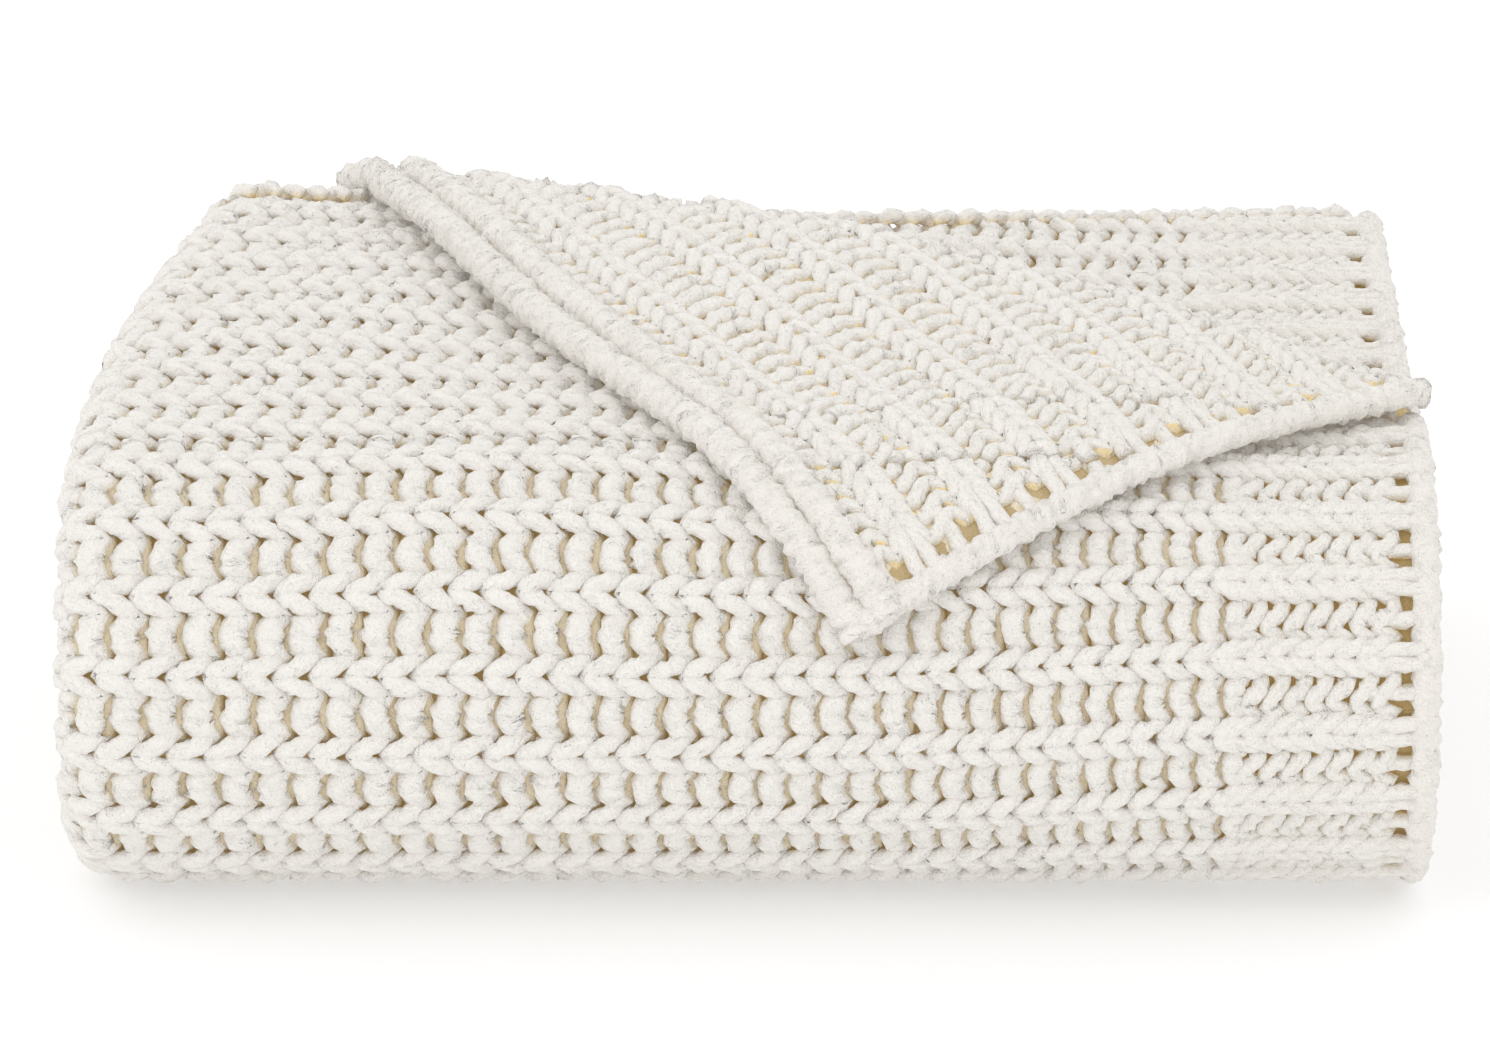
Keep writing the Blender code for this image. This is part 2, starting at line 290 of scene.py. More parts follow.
def chenille(name, crest, shade, glow_share=1.0):
    """Colour runs from shade to crest with depth, so the yarn is painted in warm shade where it lies deep; two
    noises, one per tuft and one per fibre, move it a little and raise the bump. A weak glow is painted light:
    GAP_GLOW where the yarn lies deep, standing in for light that comes through the pile, and CREST_GLOW times the
    crest colour above, which brightens the whole yarn and flattens its shading."""
    material = bpy.data.materials.new(name)
    material.use_nodes = True
    nodes, links = material.node_tree.nodes, material.node_tree.links
    shader = nodes["Principled BSDF"]
    for socket, value in (("Roughness", 0.95), ("Sheen Weight", 0.25), ("Sheen Roughness", 0.6),
                          ("Specular IOR Level", 0.1), ("Emission Strength", glow_share)):
        shader.inputs[socket].default_value = value
    place = nodes.new("ShaderNodeAttribute")
    place.attribute_name = "rest_place"
    depth = nodes.new("ShaderNodeAttribute")
    depth.attribute_name = "depth"
    noises = {}
    for part, scale, detail in (("tuft", 420.0, 4.0), ("fibre", 1500.0, 3.0)):
        noise = nodes.new("ShaderNodeTexNoise")
        noise.inputs["Scale"].default_value = scale
        noise.inputs["Detail"].default_value = detail
        links.new(place.outputs["Vector"], noise.inputs["Vector"])
        noises[part] = noise
    shift = nodes.new("ShaderNodeMath")
    shift.operation = "MULTIPLY_ADD"
    shift.inputs[1].default_value = 0.22
    shift.inputs[2].default_value = -0.11
    links.new(noises["tuft"].outputs["Fac"], shift.inputs[0])
    level = nodes.new("ShaderNodeMath")
    level.operation = "ADD"
    links.new(depth.outputs["Fac"], level.inputs[0])
    links.new(shift.outputs["Value"], level.inputs[1])
    ramp = nodes.new("ShaderNodeValToRGB")
    steps = ramp.color_ramp.elements
    steps[0].position, steps[0].color = 0.05, (*shade, 1.0)
    steps[1].position, steps[1].color = 0.85, (*crest, 1.0)
    middle = steps.new(0.42)
    middle.color = (*[0.35 * s + 0.65 * c for s, c in zip(shade, crest)], 1.0)
    links.new(level.outputs["Value"], ramp.inputs["Fac"])
    links.new(ramp.outputs["Color"], shader.inputs["Base Color"])
    glow = nodes.new("ShaderNodeValToRGB")
    steps = glow.color_ramp.elements
    steps[0].position, steps[0].color = 0.0, (*GAP_GLOW, 1.0)
    steps[1].position, steps[1].color = 0.6, (*[CREST_GLOW * c for c in crest], 1.0)
    links.new(level.outputs["Value"], glow.inputs["Fac"])
    links.new(glow.outputs["Color"], shader.inputs["Emission Color"])
    bumps = {}
    for part, height in (("tuft", 1.6 * MM), ("fibre", 0.9 * MM)):
        bumps[part] = nodes.new("ShaderNodeBump")
        bumps[part].inputs["Strength"].default_value = 0.8
        bumps[part].inputs["Distance"].default_value = height
        links.new(noises[part].outputs["Fac"], bumps[part].inputs["Height"])
    links.new(bumps["tuft"].outputs["Normal"], bumps["fibre"].inputs["Normal"])
    links.new(bumps["fibre"].outputs["Normal"], shader.inputs["Normal"])
    return material


# Materials by slot. Each paints shade into its base colour by depth and gives off a weak painted glow.
YARN_LOOKS = {
    "knit_field": chenille("yarn_field", CREST, SHADE),
    "knit_border": chenille("yarn_border", (0.855, 0.825, 0.775), SHADE),
    # The cloth behind the loops and the strands in the slits: the same ivory yarn, painted in darker, warmer shade,
    # with less painted glow.
    "knit_inner": chenille("yarn_painted_shade", (0.80, 0.72, 0.56), (0.42, 0.30, 0.12), glow_share=0.6),
    "knit_flap": chenille("yarn_flap", CREST, SHADE),
    "knit_selvedge": chenille("yarn_selvedge", (0.85, 0.815, 0.765), SHADE),
}
print("finishes:", sorted(YARN_LOOKS))

# %% [markdown]
# ## From arrays to meshes
# Two kinds of mesh make the whole throw: a sheet, which is a grid of points, and a strand, which is a ring of
# points carried along a line. Both are worked out as whole arrays and handed to the mesh in one go.

# %% Mesh makers
pieces = {}
total = [0]


def put_mesh(name, points, faces, depth, slot, caps=None):
    """Drop the points that no face uses, then fill the mesh, its attributes and its smooth shading."""
    used = np.zeros(len(points), bool)
    used[faces.ravel()] = True
    number = np.cumsum(used) - 1
    faces = number[faces]
    groups = [faces] if caps is None or not len(caps) else [faces, number[caps]]
    mesh = bpy.data.meshes.new(name)
    mesh.vertices.add(int(used.sum()))
    mesh.vertices.foreach_set("co", points[used].astype(np.float32).ravel())
    sizes = np.concatenate([np.full(len(group), group.shape[1]) for group in groups])
    mesh.loops.add(int(sizes.sum()))
    mesh.loops.foreach_set("vertex_index", np.concatenate([group.ravel() for group in groups]).astype(np.int32))
    mesh.polygons.add(len(sizes))
    mesh.polygons.foreach_set("loop_start", (np.cumsum(sizes) - sizes).astype(np.int32))
    mesh.update(calc_edges=True)
    mesh.shade_smooth()
    mesh.attributes.new("depth", "FLOAT", "POINT").data.foreach_set("value", depth[used].astype(np.float32).ravel())
    rest = mesh.attributes.new("rest_place", "FLOAT_VECTOR", "POINT")
    rest.data.foreach_set("vector", points[used].astype(np.float32).ravel())
    piece = bpy.data.objects.new(name, mesh)
    bpy.context.scene.collection.objects.link(piece)
    mesh.materials.append(YARN_LOOKS[slot])
    pieces[name] = piece
    triangles = int((sizes - 2).sum())
    total[0] += triangles
    print(f"{name}: {triangles} triangles, {total[0]} so far")
    return piece


# A sheet has one `depth` everywhere; the default 0.12 paints it in deep tan shade.
def sheet_mesh(name, points, slot, keep=None, depth=0.12):
    """A grid of points joined by four-sided faces; `keep` says which faces of the grid stay."""
    rows, columns = points.shape[:2]
    index = np.arange(rows * columns).reshape(rows, columns)
    faces = np.stack([index[:-1, :-1], index[1:, :-1], index[1:, 1:], index[:-1, 1:]], axis=-1)
    faces = faces.reshape(-1, 4) if keep is None else faces[keep]
    flat = points.reshape(-1, 3)
    return put_mesh(name, flat, faces, np.full(len(flat), depth), slot)


def strand_mesh(name, place, q, b, h, wide, deep, keep, slot, sides=8, rough=0.13, tone=None):
    """Strands side by side: row j of q, b, h is one line. The ring at each point lies square to the line, and is
    `wide` across the cloth and `deep` through it. `keep` marks the points that are wanted."""
    centre = place(q, b, h)
    up = place(q, b, h + 0.5 * MM) - centre
    ahead = np.gradient(centre, axis=1)
    ahead /= np.linalg.norm(ahead, axis=-1, keepdims=True) + 1e-12
    across = np.cross(ahead, up)
    across /= np.linalg.norm(across, axis=-1, keepdims=True) + 1e-12
    up = np.cross(across, ahead)
    angle = 2 * np.pi * np.arange(sides) / sides
    swell = 1 + rough * rng.standard_normal((*q.shape, sides))
    swell[:, [0, -1]] = 1
    ring_across = (wide[..., None] * np.cos(angle) * swell)[..., None]
    ring_up = (deep[..., None] * np.sin(angle) * swell)[..., None]
    points = centre[:, :, None] + ring_across * across[:, :, None] + ring_up * up[:, :, None]
    height = h[..., None] + deep[..., None] * np.sin(angle)
    # Height through the cloth sets `depth`: the lower a point lies, the more painted tan shade and warm painted glow
    # it gets. A cord gets one fixed `tone` instead.
    depth = smooth((height / LEAF + 0.40) / 0.72) if tone is None else np.full(height.shape, tone)
    index = np.arange(points[..., 0].size).reshape(points.shape[:3])
    turned = np.roll(index, -1, axis=2)
    faces = np.stack([index[:, :-1], turned[:, :-1], turned[:, 1:], index[:, 1:]], axis=-1)
    faces = faces[keep[:, :-1] & keep[:, 1:]].reshape(-1, 4)
    before = np.pad(keep, ((0, 0), (1, 0)))[:, :-1]
    after = np.pad(keep, ((0, 0), (0, 1)))[:, 1:]
    starts = index[keep & ~before & after][:, ::-1]
    ends = index[keep & before & ~after]
    caps = np.concatenate([starts, ends])
    return put_mesh(name, points.reshape(-1, 3), faces, depth.ravel(), slot, caps)

# %% [markdown]
# ## One stitch
# A strand runs across the ribs. In a knit rib it makes a loop: it comes up between the feet of the loop, leans
# out, turns over the head behind the cloth and comes back, and the two legs at the front make a V. In the
# purl valley between two ribs it lies as a thick rung, bowed to the left. The same loop repeats along every
# strand, and the next strand's loops sit in the heads of the last.

# %% Stitch lines
KNIT = 11.8 * MM
PURL = 14.0 * MM
RIB = KNIT + PURL
YARN = 2.6 * MM
WOBBLE_SEED = 1.7


def zigzag(loop_points, rung_points, leg, bow, lie, plump):
    """Over the knit rib the yarn is a V that opens to the right: a = leg |w|, with its point rounded, where w runs
    from -1 to 1 across the rib; it rises in the legs and dips at the point and the ends. Over the purl valley it
    is a rung bowed left: a = leg - bow (1 - |u|^2.6), low at its ends, at height lie in its middle and plumper
    there."""
    w = -1 + 2 * np.arange(loop_points) / loop_points
    u = -1 + 2 * np.arange(rung_points) / rung_points
    point = (np.sqrt(w * w + 0.02) - 0.141) / 0.869
    arch = 1 - np.abs(u) ** 2.6
    along = np.concatenate([leg * point, leg - bow * arch])
    across = np.concatenate([KNIT / 2 * (1 + w), KNIT + PURL / 2 * (1 + u)])
    over = np.sin(np.pi * np.clip(np.abs(w) * 0.92 + 0.14, 0, 1))
    height = np.concatenate([-1.4 * MM + 3.6 * MM * over ** 0.8, -1.4 * MM + (lie + 1.4 * MM) * arch])
    wide = np.concatenate([1 + 0.14 * over, 1 + plump * arch])
    deep = np.concatenate([np.ones(loop_points), 1 + 0.5 * plump * arch])
    return along, across, height, YARN * wide, YARN * deep


def field_stitch(loop_points=16, rung_points=11):
    return zigzag(loop_points, rung_points, leg=1.08, bow=0.42, lie=-0.1 * MM, plump=0.45)


def border_stitch(loop_points=16, rung_points=11):
    """The same yarn packed closer: long flat legs that read as two bands, and rungs with an S bend."""
    along, across, height, wide, deep = zigzag(loop_points, rung_points, leg=1.7, bow=0.5, lie=0.2 * MM, plump=0.18)
    turn = np.clip((across - KNIT) / PURL, 0, 1)
    return along + 0.3 * np.sin(2 * np.pi * turn), across, height, wide, deep


def chain_stitch(loop_points=14):
    """The V alone, for an edge that is one knit rib wide."""
    along, across, height, wide, deep = field_stitch(loop_points, 4)
    first = slice(0, loop_points + 1)
    return along[first], across[first], height[first], wide[first], deep[first]


def back_strand(rung_points=7):
    """A straight strand behind the slit between two rungs."""
    u = np.arange(rung_points) / (rung_points - 1)
    ones = np.ones(rung_points)
    return 0.16 * ones, KNIT + PURL * (1.3 * u - 0.15), -2.5 * MM * ones, 1.1 * YARN * ones, 0.9 * YARN * ones


def wobble(q, b, seed):
    """Three slow waves in different directions: hand-made unevenness that stays smooth along the yarn."""
    return (np.sin(170 * q + 95 * b + seed) + np.sin(-120 * q + 230 * b + 2 * seed)
            + np.sin(410 * q + 60 * b + 3 * seed)) / 3


def knit(name, place, courses, pitch, span, stitch, keep, slot, sides=8, phase=0.0, apart=False, ribs=None):
    """Strands at `courses` (distance q), each `pitch` apart, running from span[0] to span[1] across the ribs. With
    `apart`, each rib's stretch of yarn is a strand of its own."""
    along, across, height, wide, deep = stitch
    first = int(np.floor((span[0] - phase) / RIB)) - 1
    ribs = np.arange(first, int(np.ceil((span[1] - phase) / RIB)) + 1) if ribs is None else ribs
    shape = (len(courses), len(ribs), len(along))
    b = phase + (RIB * ribs[None, :, None] + across) * np.ones(shape)
    q = courses[:, None, None] - pitch[:, None, None] * along * np.ones(shape)
    h, wide, deep = (part * np.ones(shape) for part in (height, wide, deep))
    rows = (-1, shape[2]) if apart else (shape[0], -1)
    q, b, h, wide, deep = (part.reshape(rows) for part in (q, b, h, wide, deep))
    q = q + 0.5 * MM * wobble(q, b, WOBBLE_SEED)
    b = b + 0.6 * MM * wobble(q, b, WOBBLE_SEED + 1)
    h = h + 0.25 * MM * wobble(q, b, WOBBLE_SEED + 2)
    wide = wide * (1 + 0.07 * wobble(1.7 * q, 1.7 * b, WOBBLE_SEED + 3))
    if not apart:
        rung = np.broadcast_to(across > KNIT, shape).reshape(rows)
        wide = wide * np.clip(pitch[:, None] / (8.8 * MM), 0.9, 1.4) ** np.where(rung, 0.9, 0.35)
    return strand_mesh(name, place, q, b, h, wide, deep, keep(q, b), slot, sides)

# %% [markdown]
# ## Where the strands lie
# The strands are further apart at the left than at the right, and closest in the border. The ribs run closer
# together at the border too, because it is knitted tighter.

# %% Strand places and rib lines
EYELETS = 14.5 * MM
ROLL_END = ALONG[2] + 30 * MM


def field_courses(start, end, pitch_right, pitch_left):
    """Places from start to end whose spacing grows evenly from pitch_right to pitch_left."""
    count = int(round(2 * (end - start) / (pitch_right + pitch_left)))
    u = np.arange(count) / count
    k = (pitch_left / pitch_right - 1) / 2
    places = start + (end - start) * (u + k * u * u) / (1 + k)
    return places, (end - start) / count * (1 + 2 * k * u) / (1 + k)


FIELD, FIELD_PITCH = field_courses(BORDER + 3 * MM, ROLL_END, 8.5 * MM, 12.2 * MM)
CLOSE_PITCH = 7.0 * MM
EDGE = EYELETS + 12 * MM + CLOSE_PITCH * np.arange(7)
EDGE_PITCH = np.full(len(EDGE), CLOSE_PITCH)
print(len(FIELD), "field courses,", len(EDGE), "border courses")

FIRST_STATIONS = stations(MID_FIRST)
RUNG_AT_TURN = FIRST_STATIONS[1] + np.radians(0.4) * MID_FIRST
PHASE = RUNG_AT_TURN - KNIT - PURL / 2
PINCH_CENTRE = FIRST_STATIONS[1] + np.radians(20) * MID_FIRST


def rib_line(q, b):
    """Cloth length after the ribs are drawn together towards the border: up to a tenth, fading with distance."""
    pinch = 0.1 * smooth((0.22 - q) / 0.20)
    return b - pinch * 0.15 * np.tanh((b - PINCH_CENTRE) / 0.15)


def stretch_of(q, b):
    return np.interp(rib_line(q, b), FIRST_STATIONS, np.arange(8))


def first_leaf(q, b, h):
    return on_pile(q, stretch_of(q, b), h)


# %% [markdown]
# ## The cloth behind the loops
# Behind the loops lies the cloth itself: four leaves to a stack, one sheet for each stretch between the folds.
# It closes the holes between the loops with painted warm shade, and it is what gives the throw its measured size.

# %% The folded cloth, stretch by stretch
CLOTH_H = -2.6 * MM


def ride_stretch(piece, v_low):
    """Stretches below the mid plane ride on the lower half, those above on the upper. The outermost leaf of the
    front fold is baked in place and rides on neither; the leaves inside it part at the mid plane instead."""
    if v_low == 1:
        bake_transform(piece)
    else:
        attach(piece, "upper_half" if v_low in (0, 6) else "lower_half")


turns = (1, 3, 5)
q_lines = np.concatenate([np.linspace(ALONG[k], ALONG[k + 1], 14 if k in turns else 60, endpoint=False)
                          for k in range(7)])
q_lines = np.append(np.clip(q_lines, 3 * MM, None), ALONG[7] - 3 * MM)
CLOTH = {"top_cloth": (0, 1, 30, 0, 7), "front_cloth": (1, 2, 30, 0, 1), "front_above": (1, 1.5, 15, 1, 7),
         "front_below": (1.5, 2, 15, 1, 7), "under_cloth": (2, 4, 48, 0, 7), "inside_cloth": (4, 5, 24, 0, 7),
         "upper_cloth": (6, 7, 24, 0, 7)}
for name, (v_low, v_high, rows, first_run, last_run) in CLOTH.items():
    v_rows = np.linspace(v_low, v_high, rows + 1)
    if v_low == 0:
        v_rows[0] = 2 * MM / (BACK - FRONT_Y)
    if v_high == 7:
        v_rows[-1] = 7 - 2 * MM / (BACK - FRONT_Y)
    q_grid, v_grid = np.meshgrid(q_lines, v_rows, indexing="ij")
    middle_q = (q_grid[1:, 1:] + q_grid[:-1, :-1]) / 2
    keep = (middle_q > ALONG[first_run]) & (middle_q < ALONG[last_run])
    if v_low == 0:
        middle_s = (v_grid[1:, 1:] + v_grid[:-1, :-1]) / 2 * (BACK - FRONT_Y)
        keep &= (past_fold(middle_q, middle_s) < -2 * MM) | (middle_q > ALONG[1])
    behind_loops = np.interp(q_grid, ALONG[[2, 3, 5, 6]], [CLOTH_H, 0, 0, -CLOTH_H])
    sheet = sheet_mesh(name, on_pile(q_grid, v_grid, behind_loops), "knit_inner", keep)
    ride_stretch(sheet, {"front_below": 2, "front_above": 0}.get(name, v_low))

# %% [markdown]
# ## Eyelets
# Between the last border course and the edge cord the knitting is open. Two short bridges carry each rib across
# and one carries each rung, which leaves two eyelets to a rib.

# %% Bridges across the eyelets
def bridges(name, place, span, keep, slot, phase):
    """Short strands along q: at the two bands of each rib and at the middle of each rung."""
    first = int(np.floor((span[0] - phase) / RIB)) - 1
    ribs = np.arange(first, int(np.ceil((span[1] - phase) / RIB)) + 1)
    offsets = np.array([KNIT / 2 - 3.4 * MM, KNIT / 2 + 3.4 * MM, KNIT + PURL / 2])
    b = np.repeat((phase + RIB * ribs[:, None] + offsets).ravel()[:, None], 9, axis=1)
    q = np.repeat(np.linspace(4 * MM, EYELETS + 9 * MM, 9)[None], len(b), axis=0)
    lean = np.tile([1.0, -1.0, 0.0], len(ribs))[:, None] * 1.2 * MM
    b = b + lean * (q / EYELETS)
    wide = np.tile([1.0, 1.0, 1.05], len(ribs))[:, None] * YARN * np.ones(q.shape)
    h = np.tile([1.5, 1.5, -0.6], len(ribs))[:, None] * MM * np.ones(q.shape)
    return strand_mesh(name, place, q, b, h, wide, wide, keep(q, b), slot)


# %% [markdown]
# ## The outer leaf
# One leaf makes everything seen from outside: the top, the front, the underside and the back fold. It is knitted
# here in the stretches between the folds, so that each can ride on its own half of the pile; the outermost
# courses of the front stretch are baked in place and ride on neither half.

# %% Outer leaf, stretch by stretch
OUTERMOST, TURNED = FIELD < ALONG[1] + 4 * MM, FIELD >= ALONG[1] + 4 * MM
STRETCHES = {"top": (0, 1, 8), "front": (1, 2, 8), "front_up": (1, 1.5, 8), "front_low": (1.5, 2, 8),
             "under": (2, 4, 6), "inside_lower": (4, 5, 6), "inside_upper": (6, 7, 6)}
for stretch, (v_low, v_high, sides) in STRETCHES.items():
    chosen = {"front": OUTERMOST, "front_up": TURNED, "front_low": TURNED}.get(stretch, FIELD > 0)
    v_body = {"front_up": 0, "front_low": 2}.get(stretch, v_low)
    v_marks = np.interp([v_low, v_high], np.arange(8), FIRST_STATIONS)
    span = (v_marks[0] - 0.02, v_marks[1] + 0.02)
    edge_low = v_low + (4.5 * MM / (BACK - FRONT_Y) if v_low == 0 else 0)
    edge_high = v_high - (4.5 * MM / (BACK - FRONT_Y) if v_high == 7 else 0)

    def wanted(q, b):
        v = stretch_of(q, b)
        inside = (v >= edge_low) & (v <= edge_high)
        if v_low == 0:
            inside &= (past_fold(q, rib_line(q, b)) < -2 * MM) | (q > ALONG[1])
        return inside

    points = (16, 11) if sides == 8 else (10, 5)
    # The strands behind the slits are painted in shade colours.
    behind = knit(f"{stretch}_behind", first_leaf, FIELD[chosen], FIELD_PITCH[chosen], span, back_strand(), wanted,
                  "knit_inner", sides=6, phase=PHASE, apart=True)
    ride_stretch(behind, v_body)
    field = knit(f"{stretch}_field", first_leaf, FIELD[chosen], FIELD_PITCH[chosen], span, field_stitch(*points),
                 wanted, "knit_field", sides=sides, phase=PHASE)
    ride_stretch(field, v_body)
    if stretch in ("front_up", "front_low"):
        continue
    border = knit(f"{stretch}_close_knit", first_leaf, EDGE, EDGE_PITCH, span, border_stitch(*points), wanted,
                  "knit_border", sides=sides, phase=PHASE)
    bridge = bridges(f"{stretch}_eyelets", first_leaf, span, wanted, "knit_border", PHASE)
    for piece in (border, bridge):
        ride_stretch(piece, v_body)

# %% [markdown]
# ## The second leaf
# Where the corner is turned over, the second leaf shows. It faces up with its other side, so height is counted
# the other way there.

# %% Second leaf
SECOND_STATIONS = stations(MID_SECOND)


def second_leaf_up(q, b, h):
    return on_pile(ALONG[-1] - q, np.interp(rib_line(q, b), SECOND_STATIONS, np.arange(8)), -h)


def uncovered(q, b):
    place = rib_line(q, b)
    return (past_fold(q, place) > -16 * MM) & (place > 3 * MM) & (place < SECOND_STATIONS[1])


NEAR_CORNER = FIELD < 0.40
SECOND_PHASE = PHASE + 4 * MM
SECOND_SPAN = (-0.02, 0.235)
second = knit("second_leaf_field", second_leaf_up, FIELD[NEAR_CORNER], FIELD_PITCH[NEAR_CORNER], SECOND_SPAN,
              field_stitch(), uncovered, "knit_field", phase=SECOND_PHASE)
second_edge = knit("second_leaf_border", second_leaf_up, EDGE, EDGE_PITCH, SECOND_SPAN, border_stitch(), uncovered,
                   "knit_border", phase=SECOND_PHASE)
second_eyelets = bridges("second_leaf_eyelets", second_leaf_up, SECOND_SPAN, uncovered, "knit_border", SECOND_PHASE)
for piece in (second_eyelets, second, second_edge):
    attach(piece, "upper_half")

# %% [markdown]
# ## The turned corner, both sides
# The corner shows the back of the cloth, where ribs and valleys change places. Its tip hangs round the front in
# two stretches, and the roll at the diagonal fold runs between the pile and the corner. The flat corner rides on
# the flap; the roll and the tip's two stretches are baked in place.

# %% Turned corner
CURL_Y = FRONT_Y - 30 * MM
FLAP_PHASE = PHASE + RIB / 2
FLAP_SPAN = (-0.02, 0.26)


def reach(q, b):
    """How far forward a point of the turned corner lies, before its tip bends."""
    return BACK - b + 2 * past_fold(q, b) * TO_TIP[1]


def flap_face(side, flat=1.0):
    """Each side of the corner keeps its own half of the thickness: what lies behind is pressed flat."""
    return lambda q, b, h: on_flap(q, b, side * (flat * np.where(h < 0, 0.3 * h, h) + 0.7 * MM))


FLAP_PARTS = {
    "roll": lambda q, b: (past_fold(q, b) > -np.pi * ROLL * np.where(q > 14 * MM, 1, 0.5)) & (past_fold(q, b) <= 0),
    "corner": lambda q, b: (past_fold(q, b) > 0) & (reach(q, b) >= FRONT_Y),
    "tip": lambda q, b: (past_fold(q, b) > 0) & (reach(q, b) < FRONT_Y) & (reach(q, b) >= CURL_Y),
    "tip_end": lambda q, b: (past_fold(q, b) > 0) & (reach(q, b) < CURL_Y),
}


def ride_flap(piece, part):
    """The flat corner rides on the flap; the roll, the tip and the tip's end are baked in place.
    A piece without faces is taken away again."""
    if not len(piece.data.polygons):
        pieces.pop(piece.name)
        bpy.data.objects.remove(piece)
        return
    if part == "corner":
        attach(piece, "flap")
    if part == "roll":
        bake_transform(piece)
    if part == "tip":
        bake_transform(piece)
    if part == "tip_end":
        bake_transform(piece)


# The flat corner is a triangle on the fold line. `outward` is the distance from that line, `onward` the place
# along it, and `share` how much of the line's length is left at that distance. SHRINK keeps the sheet behind the
# loops at the edges.
SELVEDGE_SIDE = 15 * MM
TRIANGLE_HEIGHT = 0.1865
SHRINK = 0.965
FLAP_FLAT = {}
outward, onward = np.meshgrid(np.linspace(-np.pi * ROLL, TRIANGLE_HEIGHT - 2.5 * MM, 100), np.linspace(0.0, 1.0, 60),
                              indexing="ij")
fold_middle = (FOLD_BACK + FOLD_RIGHT) / 2
flat_corner = np.array([RIGHT, BACK])
for part, inside_part in FLAP_PARTS.items():
    share = 1 - np.clip(outward, 0, None) / TRIANGLE_HEIGHT
    line = FOLD_BACK + (FOLD_RIGHT - FOLD_BACK) * (0.5 + (onward[..., None] - 0.5) * share[..., None] * SHRINK)
    across_tip = (1 - share)[..., None] * (flat_corner + TRIANGLE_HEIGHT * TO_TIP - fold_middle)
    spot = line + across_tip - outward[..., None] * TO_TIP
    q_grid, s_grid = RIGHT - spot[..., 0], BACK - spot[..., 1]
    keep = inside_part((q_grid[1:, 1:] + q_grid[:-1, :-1]) / 2, (s_grid[1:, 1:] + s_grid[:-1, :-1]) / 2)
    # The roll's sheet gets light painted shade, the other sheets dark tan painted shade.
    sheet = sheet_mesh(f"{part}_cloth", on_flap(q_grid, s_grid, 0 * q_grid), "knit_inner", keep,
                       depth=0.8 if part == "roll" else 0.2)
    ride_flap(sheet, part)
    along_fold = spot @ (FOLD_RIGHT - FOLD_BACK) / FOLD_LENGTH
    turns_tried = np.radians(np.arange(0, 180, 3))
    spots = spot[:-1, :-1][keep]
    widths = np.ptp(spots @ np.stack([np.cos(turns_tried), np.sin(turns_tried)]), axis=0)
    lengths = np.ptp(spots @ np.stack([-np.sin(turns_tried), np.cos(turns_tried)]), axis=0)
    best = int(np.argmin(widths * lengths))
    step_along = (along_fold[:-1, 1:] - along_fold[:-1, :-1])[keep]
    step_out = (outward[1:, :-1] - outward[:-1, :-1])[keep]
    FLAP_FLAT[part] = [float(widths[best]), float(lengths[best]), float((step_along * step_out).sum())]
    print(part, "flat width, length, area:", np.round(FLAP_FLAT[part], 4))
for part, inside_part in FLAP_PARTS.items():
    for side, face in (("", 1), ("_lining", -1)):
        flat_side = 0.7 if part == "roll" and face < 0 else 1.0

        def wanted_part(q, b):
            return inside_part(q, b) & (b > SELVEDGE_SIDE * (face > 0) + 4 * MM * (face < 0))

        points, sides = ((16, 11), 8) if face > 0 else ((10, 5), 6)
        phase = FLAP_PHASE if face > 0 else PHASE
        field = knit(f"{part}_field{side}", flap_face(face, flat_side), FIELD[NEAR_CORNER], FIELD_PITCH[NEAR_CORNER],
                     FLAP_SPAN, field_stitch(*points), wanted_part, "knit_flap", sides=sides, phase=phase)
        edge = knit(f"{part}_border{side}", flap_face(face, flat_side), EDGE, EDGE_PITCH, FLAP_SPAN,
                    border_stitch(*points), wanted_part, "knit_border", sides=sides, phase=phase)
        bridge = bridges(f"{part}_eyelets{side}", flap_face(face), FLAP_SPAN, wanted_part, "knit_border", phase)
        for piece in (field, edge, bridge):
            ride_flap(piece, part)

# %% [markdown]
# ## Edges
# The raw edges are finished with a fat, soft cord: along the right-hand end of the first and second leaves, and
# along the back edge of every leaf. The turned corner's left edge has two such bands side by side.

# %% Cords along the edges
CORD = 4.5 * MM


def cord(name, place, q, b, h, keep, slot="knit_selvedge", radius=CORD, knob=7.0 * MM, sides=12):
    """One strand with a knob at every course: radius (1 + 0.07 sin(2 pi length / knob))."""
    q, b, h = (np.broadcast_to(part, np.broadcast_shapes(np.shape(q), np.shape(b)))[None] for part in (q, b, h))
    knobs = 1 + 0.07 * np.sin(2 * np.pi * (q + b) / knob) + 0.04 * wobble(3 * q, 3 * b, 5.0)
    return strand_mesh(name, place, q.copy(), b.copy(), h.copy(), radius * knobs, radius * knobs, keep, slot, sides,
                       rough=0.10, tone=0.88)


def on_path(mid):
    """Places on a leaf by its own cloth length, with no ribs drawn together."""
    marks = stations(mid)
    return lambda q, b, h: on_pile(q, np.interp(b, marks, np.arange(8)), h)


